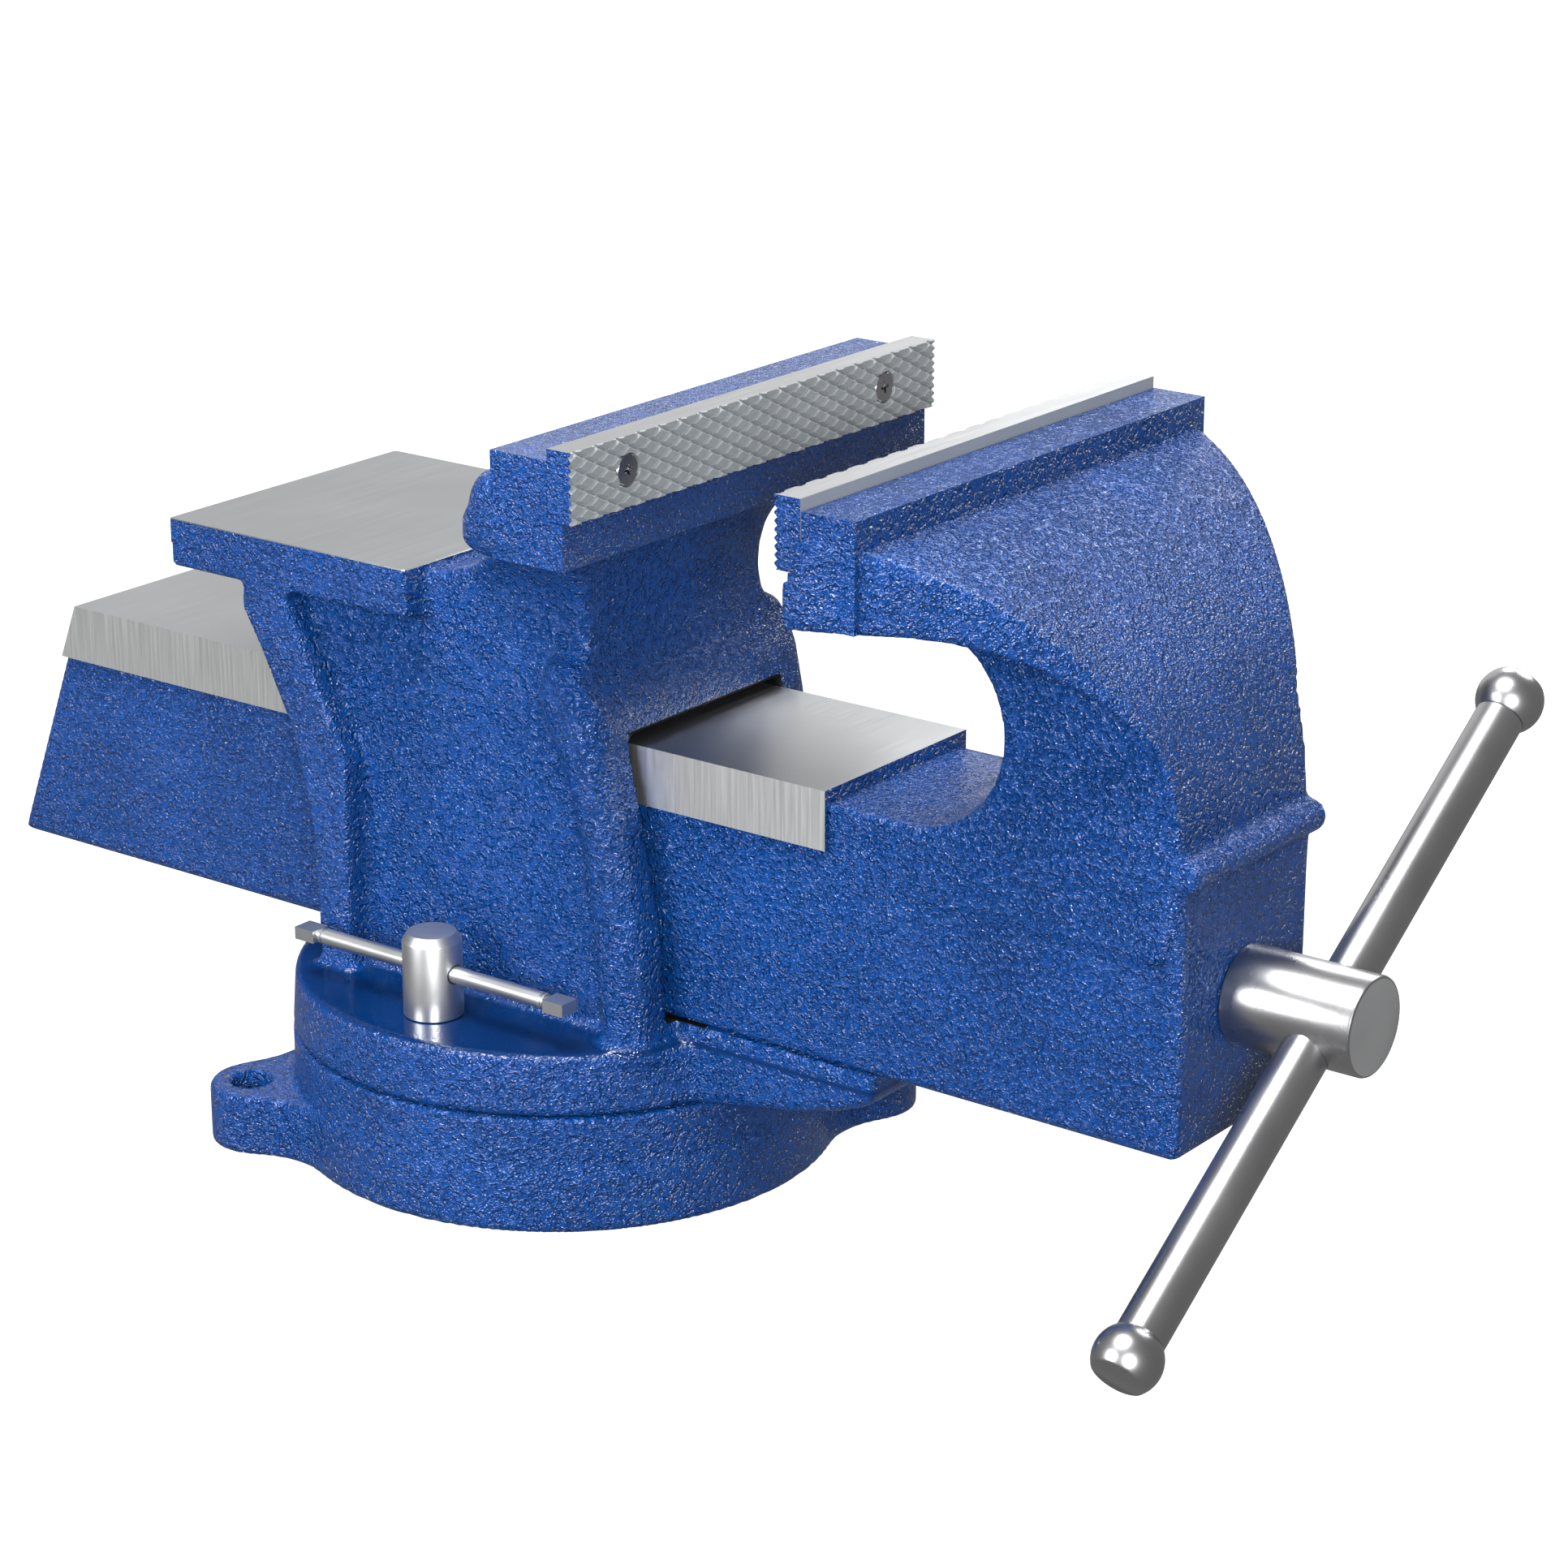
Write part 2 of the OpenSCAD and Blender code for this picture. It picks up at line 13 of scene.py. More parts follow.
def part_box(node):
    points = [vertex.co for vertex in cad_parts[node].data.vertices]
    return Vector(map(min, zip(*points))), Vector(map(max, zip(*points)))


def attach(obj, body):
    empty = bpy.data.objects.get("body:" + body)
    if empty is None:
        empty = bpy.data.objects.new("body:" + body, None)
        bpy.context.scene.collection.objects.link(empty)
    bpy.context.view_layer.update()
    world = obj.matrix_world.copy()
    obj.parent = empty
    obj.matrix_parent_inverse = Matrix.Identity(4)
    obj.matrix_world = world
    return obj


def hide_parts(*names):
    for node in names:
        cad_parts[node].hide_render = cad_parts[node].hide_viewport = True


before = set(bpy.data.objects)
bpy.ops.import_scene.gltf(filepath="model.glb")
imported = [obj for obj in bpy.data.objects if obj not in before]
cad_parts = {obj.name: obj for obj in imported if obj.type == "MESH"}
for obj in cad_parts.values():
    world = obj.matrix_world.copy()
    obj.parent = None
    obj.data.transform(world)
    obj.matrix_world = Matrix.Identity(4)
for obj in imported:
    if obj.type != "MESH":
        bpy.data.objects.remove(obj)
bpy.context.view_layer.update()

MM = 0.001
PITCH = 1.5


def node_box(name):
    low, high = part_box(name)
    return [v / MM for v in low], [v / MM for v in high]


# ------------------------------------------------------------------ sizes, read from the CAD model

BASE_LOW, BASE_HIGH = node_box("swivel_base")
FIX_LOW, FIX_HIGH = node_box("fixed_jaw_body")
MOV_LOW, MOV_HIGH = node_box("sliding_jaw_body")
FPL_LOW, FPL_HIGH = node_box("fixed_jaw_plate")
MPL_LOW, MPL_HIGH = node_box("sliding_jaw_plate")
BASE_R = BASE_HIGH[0]
FACE_X = FPL_HIGH[0]
MOVE_X = MPL_LOW[0]
PLATE_T = FPL_HIGH[0] - FPL_LOW[0]
HALF_JAW = FPL_HIGH[1]
SEAT_Z = FPL_LOW[2]
PLATE_TOP = FPL_HIGH[2]
JAW_TOP = FIX_HIGH[2]
FOOT_Z = FIX_LOW[2]
SLIDE_X0 = MOV_LOW[0]
SLIDE_Z0 = MOV_LOW[2]
SCREW_Z = sum(node_box("spindle")[i][2] for i in (0, 1)) / 2

# sizes inside those boxes, the same as in the CAD model
FRONT_X = MOVE_X + 113.4
FOOT_TOP = 65.7
FLOOR_Z = 72.6
STRIP_Z = 149.2
SLIDE_TOP = 170.3
PAINTED_TOP = 165.5
JAW_UNDER = 247.9
ANVIL_X0 = FIX_LOW[0]
ANVIL_X1 = -17.9
ANVIL_Z0 = 203.4
ANVIL_Z1 = 221.3
FLANGE_Y = 60.5
CORE_Y = 49.0
SLIDE_Y = 38.7
WAY_Y = 40.7
STRIP_END = MOVE_X - 24.3
FIX_SEAM_X = FACE_X - 5.6
BLOCK_INSET = 1.6
LOCK_R = 71.5
LOCK_BAR_Z = 82.5
T_SLOT_HALF = 6.3
PLATE_SCREW_Y, PLATE_SCREW_Z = 70.7, 276.4
HANDLE_HALF = 136.0
HANDLE_LEAN = 56.2
SHANK_R = 13.95


# ------------------------------------------------------------------ solid shapes as distance fields

def union(a, b, r=0.0):
    """Joins two shapes with a hollow fillet of radius r."""
    if isinstance(r, float) and r <= 0:
        return np.minimum(a, b)
    u = np.maximum(r - a, 0)
    v = np.maximum(r - b, 0)
    return np.maximum(r, np.minimum(a, b)) - np.sqrt(u * u + v * v)


def common(a, b, r=0.0):
    """Keeps what two shapes share, with the edge between them rounded to radius r."""
    if isinstance(r, float) and r <= 0:
        return np.maximum(a, b)
    u = np.maximum(r + a, 0)
    v = np.maximum(r + b, 0)
    return np.minimum(-r, np.maximum(a, b)) + np.sqrt(u * u + v * v)


def cut(a, b, r=0.0):
    return common(a, -b, r)


def slab(v, low, high):
    return np.abs(v - (low + high) / 2) - (high - low) / 2


def rounded(points):
    """Outline whose corners, given as (u, v, radius), are turned into arcs."""
    out = []
    n = len(points)
    for i, (x, y, *radius) in enumerate(points):
        r = radius[0] if radius else 0
        if r == 0:
            out.append((x, y))
            continue
        p = Vector((x, y))
        a = Vector(points[i - 1][:2]) - p
        b = Vector(points[(i + 1) % n][:2]) - p
        half = a.angle(b) / 2
        reach = min(r / math.tan(half), a.length * 0.49, b.length * 0.49)
        r = reach * math.tan(half)
        a.normalize()
        b.normalize()
        centre = p + (a + b).normalized() * (r / math.sin(half))
        start = p + a * reach - centre
        turn = -start.angle_signed(p + b * reach - centre)
        steps = max(3, int(abs(turn) * r / 2) + 2)
        for k in range(steps + 1):
            t = turn * k / steps
            out.append((centre.x + start.x * math.cos(t) - start.y * math.sin(t),
                        centre.y + start.x * math.sin(t) + start.y * math.cos(t)))
    return out


def outline(u, v, points):
    """Signed distance from a closed outline, negative inside."""
    pts = rounded(points)
    best = None
    sign = None
    for i, (ax, ay) in enumerate(pts):
        bx, by = pts[i - 1]
        ex, ey = bx - ax, by - ay
        length = ex * ex + ey * ey
        if length < 1e-9:
            continue
        wx, wy = u - ax, v - ay
        t = np.clip((wx * ex + wy * ey) / length, 0, 1)
        d = (wx - ex * t) ** 2 + (wy - ey * t) ** 2
        c1, c2, c3 = v >= ay, v < by, ex * wy > ey * wx
        flip = np.where((c1 & c2 & c3) | (~c1 & ~c2 & ~c3), -1.0, 1.0).astype(np.float32)
        best = d if best is None else np.minimum(best, d)
        sign = flip if sign is None else sign * flip
    return (sign * np.sqrt(best)).astype(np.float32)


class Field:
    """A box of sample points over the half with y above 0; the other half is its mirror image."""

    def __init__(self, low, high, pitch, mirror=True):
        self.pitch = pitch
        self.mirror = mirror
        pad = 3 * pitch
        self.x0 = low[0] - pad
        self.z0 = low[2] - pad
        nx = int((high[0] + pad - self.x0) / pitch) + 2
        nz = int((high[2] + pad - self.z0) / pitch) + 2
        self.y0 = 0.0 if mirror else low[1] - pad
        ny = int((high[1] + pad - self.y0) / pitch) + 2
        self.x = (self.x0 + pitch * np.arange(nx, dtype=np.float32)).reshape(nx, 1, 1)
        self.y = (self.y0 + pitch * np.arange(ny, dtype=np.float32)).reshape(1, ny, 1)
        self.z = (self.z0 + pitch * np.arange(nz, dtype=np.float32)).reshape(1, 1, nz)

    def mesh(self, values):
        """Turns the surface where the values are zero into points and four-sided faces, in mm."""
        values = np.broadcast_to(values, (self.x.size, self.y.size, self.z.size)).astype(np.float32)
        y0 = self.y0
        if self.mirror:
            values = np.concatenate([values[:, :0:-1, :], values], axis=1)
            y0 = -self.pitch * (self.y.size - 1)
        grid = openvdb.FloatGrid(3 * self.pitch)
        grid.copyFromArray(np.clip(values, -3 * self.pitch, 3 * self.pitch))
        points, quads = grid.convertToQuads(0.0)
        points = points * self.pitch + np.array([self.x0, y0, self.z0])
        return points.astype(np.float64), quads[:, ::-1]


def swivel_base_shape():
    f = Field(BASE_LOW, BASE_HIGH, PITCH, mirror=False)
    x, y, z = f.x, f.y, f.z
    r = np.sqrt(x * x + y * y)
    disc = common(r - BASE_R, slab(z, 0, BASE_HIGH[2]), 1.2)
    c = math.cos(math.radians(45))
    along = (x + y) * c
    across = np.abs((y - x) * c)
    lug_at, lug_half, lug_top = 112, 18, 23
    hole_at, hole_r = 115, 7.5
    slot_floor = 12
    lug = np.sqrt((np.abs(along) - lug_at) ** 2 + across ** 2) - lug_half
    bridge = np.maximum(across - lug_half, np.abs(along) - lug_at)
    plan = union(r - BASE_R, np.minimum(lug, bridge), 22.0)
    lugs = common(plan, slab(z, 0, lug_top), 2.2)
    body = np.maximum(union(disc, lugs, 2.0), -z)
    body = cut(body, np.sqrt((np.abs(along) - hole_at) ** 2 + across ** 2) - hole_r, 0.8)
    # the ring slot, wide below and narrow above, and the round hole where the T-bolts go in
    ring = np.abs(r - LOCK_R)
    body = cut(body, np.maximum(ring - 12.5, slab(z, slot_floor, 27)))
    body = cut(body, np.maximum(ring - T_SLOT_HALF, 26 - z))
    body = cut(body, np.maximum(np.sqrt((x - LOCK_R) ** 2 + y * y) - 16, slot_floor - z))
    body = cut(body, np.maximum(r - 50, z - 22), 1.5)
    body = cut(body, r - 8.1)
    return f.mesh(body)


def fixed_body_shape():
    f = Field(FIX_LOW, FIX_HIGH, PITCH)
    x, y, z = f.x, f.y, f.z
    r = np.sqrt(x * x + y * y)
    foot = common(r - BASE_R + 0.07 * (z - FOOT_Z), slab(z, FOOT_Z, FOOT_TOP), 2.6)
    tongue = common(outline(x, z, [(30, FOOT_Z), (93.5, FOOT_Z, 20), (110, 46.3, 30), (128, 49.2, 30),
                                   (150, 55.0, 20), (166, 61.5, 7), (166, FLOOR_Z, 1.2), (30, FLOOR_Z)]),
                    y - 38.5, 3.0)
    front = [(82.3, FOOT_TOP - 4), (80.3, 105, 150), (75.2, 131, 150), (67.6, 166, 60), (64.5, 183, 20),
             (56.5, 194, 16), (53.0, 210, 30), (54.6, 229, 20), (61, 241, 14), (72, 247.0, 20),
             (FIX_SEAM_X, 248.5)]
    crown = [(FIX_SEAM_X, 262), (40, 262), (38.5, 252, 6), (27, 240, 20), (2, 224, 20), (-20, 217, 6)]
    rear = [(-102.3, ANVIL_Z0, 12), (-89, 181, 60), (-75, 153, 60), (-66.5, 118, 90), (-64, FOOT_TOP - 4)]
    whole = outline(x, z, front + crown + [(-20, ANVIL_Z0 + 4)] + rear)
    core = common(whole, y - CORE_Y, 3.2)
    flange = common(outline(x, z, [(-50.2, FOOT_TOP - 4), (-49.6, 145, 9), (-76, 200, 4), (-74, 207)] + rear),
                    y - FLANGE_Y, 1.8)
    ridge = common(outline(x, z, [front[0], front[1], front[2], (67.8, 165, 60), (64, 184, 20), (56, 199, 9),
                                  (41, 201, 9), (35.5, 185, 9), (49.4, 157, 60), (56.0, 131, 80),
                                  (60.4, 101, 90), (63.2, FOOT_TOP - 4)]), y - 60, 9.0)
    neck_front = outline(y, z, [(0, 205), (CORE_Y, 205)]
                         + [(CORE_Y + (HALF_JAW - CORE_Y + 1) * (1 - math.cos(math.radians(a))),
                             214 + (JAW_UNDER + 1 - 214) * math.sin(math.radians(a)))
                            for a in range(0, 91, 9)]
                         + [(HALF_JAW + 1, 262), (0, 262)])
    neck_side = outline(x, z, front + crown + [(-20, 190), (60, 190)])
    neck_plan = outline(x, y, [(100, 0), (100, HALF_JAW), (44, HALF_JAW, 12), (33, 88, 20), (14, 66, 30),
                               (-4, 47, 20), (-19, 27, 10), (-19, 0)])
    neck = common(common(neck_front, neck_side, 4.0), neck_plan, 8.0)
    shoulder = common(common(outline(x, y, [(38.5, 0), (38.5, HALF_JAW, 14), (70, HALF_JAW), (70, 0)]),
                             outline(x, z, [(38.5, 246), (38.5, 275, 17), (75, 275), (75, 246)]), 9.0),
                      slab(z, 236, 300))
    block = np.maximum(np.maximum(slab(x, 58.6, FIX_SEAM_X), y - HALF_JAW + BLOCK_INSET),
                       slab(z, JAW_UNDER + BLOCK_INSET, JAW_TOP - BLOCK_INSET))
    anvil = common(common(slab(x, ANVIL_X0 + 0.15, ANVIL_X1 - 0.15), y - FLANGE_Y + 0.15, 1.5),
                   slab(z, ANVIL_Z0, ANVIL_Z1 - 0.3), 1.5)
    body = union(core, flange, 1.6)
    body = np.maximum(union(body, ridge, 5.0), whole)
    body = np.maximum(union(body, anvil, 4.0), y - FLANGE_Y + 0.15)
    body = np.minimum(body, np.maximum(neck, whole))
    body = union(body, shoulder, 6.0)
    body = union(body, foot, 5.0)
    body = np.maximum(union(body, tongue, 2.0), FOOT_Z - z)
    body = np.minimum(body, block)
    body = cut(body, np.maximum(FACE_X - PLATE_T - BLOCK_INSET - x, SEAT_Z - BLOCK_INSET - z), 0.0)
    passage = np.maximum(slab(z, FLOOR_Z, 170.6), np.maximum(y - 41.0, np.abs(x) - 140))
    mouth = np.maximum(outline(y, z, [(0, FLOOR_Z), (42.7, FLOOR_Z), (42.7, 173.3, 5), (0, 173.3)]), 56 - x)
    body = cut(body, passage, 0.0)
    body = cut(body, mouth, 1.0)
    for bolt_x in (-22, 22):
        body = cut(body, np.maximum(np.sqrt((x - bolt_x) ** 2 + y * y) - 11.5, z - 53.3))
    body = cut(body, np.maximum(np.sqrt(x * x + (y - LOCK_R) ** 2) - T_SLOT_HALF, z - 70))
    return f.mesh(body)


def sliding_body_shape():
    f = Field(MOV_LOW, MOV_HIGH, PITCH)
    x, y, z = f.x, f.y, f.z
    mx = MOVE_X
    fx = FRONT_X
    slide = common(outline(x, z, [(SLIDE_X0, SLIDE_Z0, 2), (fx, SLIDE_Z0, 3), (fx, 168), (fx - 14, 184),
                                  (mx + 40, PAINTED_TOP), (STRIP_END - 6, PAINTED_TOP),
                                  (STRIP_END - 6, STRIP_Z + 4), (mx - 384 + 1, STRIP_Z + 4)]),
                   y - SLIDE_Y, 2.6)
    back = np.sqrt((x - mx - 7.7) ** 2 + (z - 172.3) ** 2) - 104
    plan = np.sqrt((x - mx + 68.1) ** 2 + (y + 115.5) ** 2) - 234.6
    plan = union(plan, y - SLIDE_Y, 4.0)
    arm = common(np.maximum(back, mx + 6.5 - x), np.maximum(plan, slab(z, 140, 300)), 1.8)
    lip_in = np.sqrt(np.maximum(x - mx - 40.5, 0) ** 2 + (z - 175.6) ** 2) - 71.4
    soft = np.clip(20 - (x - mx - 30) * 0.22, 5.0, 20.0).astype(np.float32)
    arm = cut(arm, common(lip_in, SLIDE_Y - y, soft), 1.8)
    throat = np.sqrt((x - mx - 9) ** 2 + (z - 200.5) ** 2) - 35
    throat = np.minimum(throat, np.maximum(slab(z, 165.5, 235.5), x - mx - 9))
    body = union(arm, slide, 3.0)
    body = cut(body, throat, 1.4)
    block = np.maximum(np.maximum(slab(x, mx + 6.5, mx + 29), y - HALF_JAW + BLOCK_INSET),
                       slab(z, JAW_UNDER + BLOCK_INSET, JAW_TOP - BLOCK_INSET))
    body = np.minimum(body, block)
    bead = common(np.sqrt((x - fx) ** 2 + (z - 169.7) ** 2) - 5.6, y - 39.6, 2.0)
    body = union(body, bead, 2.2)
    body = cut(body, np.maximum(x - mx - PLATE_T - BLOCK_INSET, SEAT_Z - BLOCK_INSET - z), 0.0)
    body = cut(body, np.maximum(np.maximum(slab(z, 0, 152.8), y - 27), x - mx - 83), 1.5)
    body = cut(body, np.maximum(np.sqrt(y * y + (z - SCREW_Z) ** 2) - 14.1, mx + 70 - x))
    return f.mesh(body)


# ------------------------------------------------------------------ materials

class Maker:
    """Short hand for wiring a material's nodes."""

    def __init__(self, name):
        self.m = bpy.data.materials.new(name)
        self.m.use_nodes = True
        self.t = self.m.node_tree
        self.p = self.t.nodes["Principled BSDF"]
        self.coord = self.t.nodes.new("ShaderNodeTexCoord").outputs["Object"]

    def node(self, kind, **inputs):
        n = self.t.nodes.new(kind)
        for k, v in inputs.items():
            if hasattr(n, k):
                setattr(n, k, v)
            else:
                self.wire(n.inputs[k.replace("_", " ")], v)
        return n

    def wire(self, sock, v):
        if isinstance(v, bpy.types.NodeSocket):
            self.t.links.new(v, sock)
        else:
            sock.default_value = v

    def set(self, **inputs):
        for k, v in inputs.items():
            self.wire(self.p.inputs[k.replace("_", " ")], v)

    def scaled(self, x, y, z):
        n = self.node("ShaderNodeMapping")
        self.wire(n.inputs["Vector"], self.coord)
        n.inputs["Scale"].default_value = (x, y, z)
        return n.outputs["Vector"]

    def noise(self, vector, scale, detail=2.0, rough=0.5, distort=0.0):
        n = self.node("ShaderNodeTexNoise", Vector=vector, Scale=scale, Detail=detail, Roughness=rough,
                      Distortion=distort)
        return n.outputs["Fac"]

    def ramp(self, fac, stops):
        n = self.node("ShaderNodeValToRGB", Fac=fac)
        e = n.color_ramp.elements
        while len(e) < len(stops):
            e.new(0.5)
        for item, (pos, colour) in zip(e, stops):
            item.position = pos
            item.color = (*colour, 1)
        return n.outputs["Color"]

    def math(self, op, a, b=0.0, c=0.0):
        n = self.node("ShaderNodeMath", operation=op)
        for i, v in enumerate((a, b, c)):
            self.wire(n.inputs[i], v)
        return n.outputs[0]

    def bump(self, height, distance, strength=1.0, normal=None):
        n = self.node("ShaderNodeBump", Height=height, Distance=distance, Strength=strength)
        if normal is not None:
            self.wire(n.inputs["Normal"], normal)
        return n.outputs["Normal"]


RIPPLES_PER_M = 460.0
RIPPLE_DEPTH = 0.0032


def casting_paint(name, deep, light):
    """Glossy blue paint over a cast surface. It has run into hammered ripples about 2.2 mm apart, which
    show by the light on them, except on the machined top of the foot, where it lies smooth and its colour is
    darkened as painted shade."""
    k = Maker(name)
    split = k.node("ShaderNodeSeparateXYZ", Vector=k.coord)
    off = k.math("ABSOLUTE", k.math("SUBTRACT", split.outputs["Z"], FOOT_TOP * MM))
    rough_part = k.math("MINIMUM", k.math("MULTIPLY_ADD", off, 380.0, 0.06), 1.0)
    ripple = k.noise(k.coord, RIPPLES_PER_M, 2.0, 0.55, 0.2)
    away = k.math("ABSOLUTE", k.math("SUBTRACT", ripple, 0.5))
    crest = k.math("MAXIMUM", k.math("MULTIPLY_ADD", away, -8.0, 1.0), 0.0)
    slow = k.noise(k.coord, 28.0, 2.0, 0.5)
    height = k.math("ADD", ripple, k.math("MULTIPLY", crest, 0.22))
    # the ripple part of the tone makes the crests lighter and the hollows darker: partly paint lying thicker
    # in the hollows, partly painted shade
    tone = k.math("ADD", k.math("MULTIPLY", ripple, 0.3), k.math("MULTIPLY", slow, 0.7))
    # the darker colour on the top of the foot is painted shade
    smooth = [v * 0.45 for v in deep]
    shade = k.math("MULTIPLY", tone, rough_part)
    k.set(Base_Color=k.ramp(shade, [(0.05, smooth), (0.35, deep), (0.65, light)]))
    k.set(Metallic=0.0, Roughness=0.5, IOR=1.5, Specular_IOR_Level=0.0, Coat_Weight=1.0, Coat_Roughness=0.1,
          Coat_IOR=1.5)
    normal = k.bump(height, RIPPLE_DEPTH, rough_part)
    k.set(Normal=normal, Coat_Normal=normal)
    return k.m


def machined(name, colour, stretch, rough=0.3, depth=0.00004):
    """Bare metal with the fine parallel marks of the cutter; stretch says how each axis is scaled."""
    k = Maker(name)
    lines = k.noise(k.scaled(*stretch), 1.0, 3.0, 0.6)
    cloud = k.noise(k.coord, 22.0, 3.0, 0.55)
    tone = k.math("ADD", k.math("MULTIPLY", lines, 0.35), k.math("MULTIPLY", cloud, 0.65))
    k.set(Base_Color=k.ramp(tone, [(0.25, [v * 0.86 for v in colour]), (0.75, colour)]), Metallic=1.0)
    k.set(Roughness=k.math("MULTIPLY_ADD", lines, 0.18, rough - 0.06))
    k.set(Normal=k.bump(lines, depth, 0.6))
    return k.m


def plain_steel(name, colour, rough, grain=260.0, metal=1.0):
    k = Maker(name)
    spots = k.noise(k.coord, grain, 3.0, 0.6)
    cloud = k.noise(k.coord, 35.0, 3.0, 0.5)
    k.set(Base_Color=k.ramp(cloud, [(0.3, [v * 0.9 for v in colour]), (0.7, colour)]), Metallic=metal)
    k.set(Roughness=k.math("MULTIPLY_ADD", cloud, 0.1, rough - 0.05))
    k.set(Normal=k.bump(spots, 0.00003, 0.5))
    return k.m


paint = casting_paint("hammered_blue", (0.0, 0.028, 0.14), (0.001, 0.039, 0.19))
way_top = machined("ground_top", (0.45, 0.46, 0.47), (900.0, 26.0, 26.0), 0.3)
# the slide's sides use a much lighter copy of the top's cut steel: a painted reflection
way_side_painted_light = machined("milled_side_painted_light", (0.86, 0.87, 0.87), (900.0, 26.0, 26.0), 0.36)
anvil_face = machined("milled_anvil", (0.4, 0.415, 0.42), (700.0, 20.0, 20.0), 0.32)
teeth = plain_steel("hardened_teeth", (0.36, 0.385, 0.4), 0.34, metal=0.45)
bright = plain_steel("polished_steel", (0.5, 0.5, 0.51), 0.28, 120.0)
satin = plain_steel("satin_steel", (0.64, 0.65, 0.66), 0.36, 200.0)
# the spindle's end face: turned steel, made much lighter than the head's side as painted light
turned_end_painted_light = plain_steel("turned_end_painted_light", (0.88, 0.89, 0.9), 0.34)
screw_steel = plain_steel("screw_steel", (0.5, 0.5, 0.52), 0.25)
# dark iron for the spindle nut; the same dark colour is painted shade inside the fixed casting's bore
dark_iron_and_shade = plain_steel("dark_iron_and_shade", (0.02, 0.02, 0.022), 0.6)
oiled = plain_steel("oiled_steel", (0.3, 0.3, 0.31), 0.35)


# ------------------------------------------------------------------ pieces

def put(name, mesh, body, nodes):
    """Puts a finished mesh in the scene, on its body, in place of the CAD nodes named."""
    ob = bpy.data.objects.new(name, mesh)
    bpy.context.scene.collection.objects.link(ob)
    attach(ob, body)
    if nodes:
        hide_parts(*nodes)
    return ob


def add(name, points, faces, materials, body, nodes=(), picks=None, sharp=35.0):
    """Makes a piece from points in mm. picks gives each face's material."""
    mesh = bpy.data.meshes.new(name)
    points = np.asarray(points, dtype=np.float64) * MM
    mesh.from_pydata(points.tolist(), [], [list(map(int, q)) for q in faces])
    finish(mesh, materials, picks, sharp)
    return put(name, mesh, body, nodes)


def finish(mesh, materials, picks=None, sharp=35.0):
    """Gives a mesh its materials, and smooth shading with edges kept sharp above that many degrees."""
    mesh.validate()
    for m in materials:
        mesh.materials.append(m)
    if picks is not None:
        mesh.polygons.foreach_set("material_index", list(picks))
    mesh.shade_smooth()
    if sharp < 180:
        mesh.set_sharp_from_angle(angle=math.radians(sharp))
    mesh.update()


def casting(name, shape, body, node, painted_shade_faces=None):
    """Meshes a casting. painted_shade_faces(x, y, z) says which faces, by their centres in mm, get the dark
    iron colour as painted shade.
    """
    points, quads = shape()
    picks = None
    if painted_shade_faces:
        middle = points[quads].mean(axis=1)
        picks = painted_shade_faces(*middle.T).astype(int).tolist()
    return add(name, points, quads, [paint, dark_iron_and_shade], body, [node], picks=picks, sharp=180)


def passage_shade(x, y, z):
    """The bore through the fixed casting that the slide runs in, with its floor, where the dark iron colour
    is painted shade.
    """
    return (np.abs(y) < 43.5) & (z < 174.1) & (z > FLOOR_Z - 0.9) & (np.abs(x) < 95)


def mesh_from(name, bm):
    """Turns a bmesh in mm into a mesh in metres, and frees it."""
    mesh = bpy.data.meshes.new(name)
    bmesh.ops.recalc_face_normals(bm, faces=bm.faces)
    bm.to_mesh(mesh)
    bm.free()
    mesh.transform(Matrix.Scale(MM, 4))
    return mesh


def from_bmesh(name, bm, materials, body, nodes=(), sharp=35.0):
    """Makes a piece from a bmesh in mm."""
    mesh = mesh_from(name, bm)
    finish(mesh, materials, None, sharp)
    return put(name, mesh, body, nodes)


def reshade(ob, sharp):
    """Shades a piece again after a cut."""
    ob.data.shade_smooth()
    ob.data.set_sharp_from_angle(angle=math.radians(sharp))


def turned(bm, profile, place=Matrix(), steps=64):
    """Adds a lathe-turned shape: profile is a list of (radius, height) about the local Z axis."""
    rings = []
    for r, h in profile:
        if r < 1e-6:
            rings.append([bm.verts.new(place @ Vector((0, 0, h)))])
        else:
            rings.append([bm.verts.new(place @ Vector((r * math.cos(2 * math.pi * i / steps),
                                                       r * math.sin(2 * math.pi * i / steps), h)))
                          for i in range(steps)])
    for a, b in zip(rings, rings[1:]):
        for i in range(steps):
            j = (i + 1) % steps
            ring = [a[i % len(a)], a[j % len(a)], b[j % len(b)], b[i % len(b)]]
            face = []
            for v in ring:
                if v not in face:
                    face.append(v)
            if len(face) > 2:
                bm.faces.new(face)
    return bm


def prism(bm, points, extrude):
    """Adds a solid whose flat outline is points, swept by the vector extrude."""
    low = [bm.verts.new(Vector(p)) for p in points]
    high = [bm.verts.new(Vector(p) + Vector(extrude)) for p in points]
    bm.faces.new(low)
    bm.faces.new(high[::-1])
    n = len(low)
    for i in range(n):
        bm.faces.new([low[i], high[i], high[(i + 1) % n], low[(i + 1) % n]])


def bevel_edges(bm, offset, angle=30.0, segments=2):
    """Rounds every edge that bends by more than the angle."""
    edges = [e for e in bm.edges if e.is_manifold and e.calc_face_angle() > math.radians(angle)]
    bmesh.ops.bevel(bm, geom=edges, offset=offset, segments=segments, affect="EDGES", profile=0.5,
                    clamp_overlap=True)


def paint_by(ob, rule):
    """Sets each face's material by a rule on its centre and normal, both in mm and unit length."""
    for p in ob.data.polygons:
        p.material_index = rule(p.center / MM, p.normal)


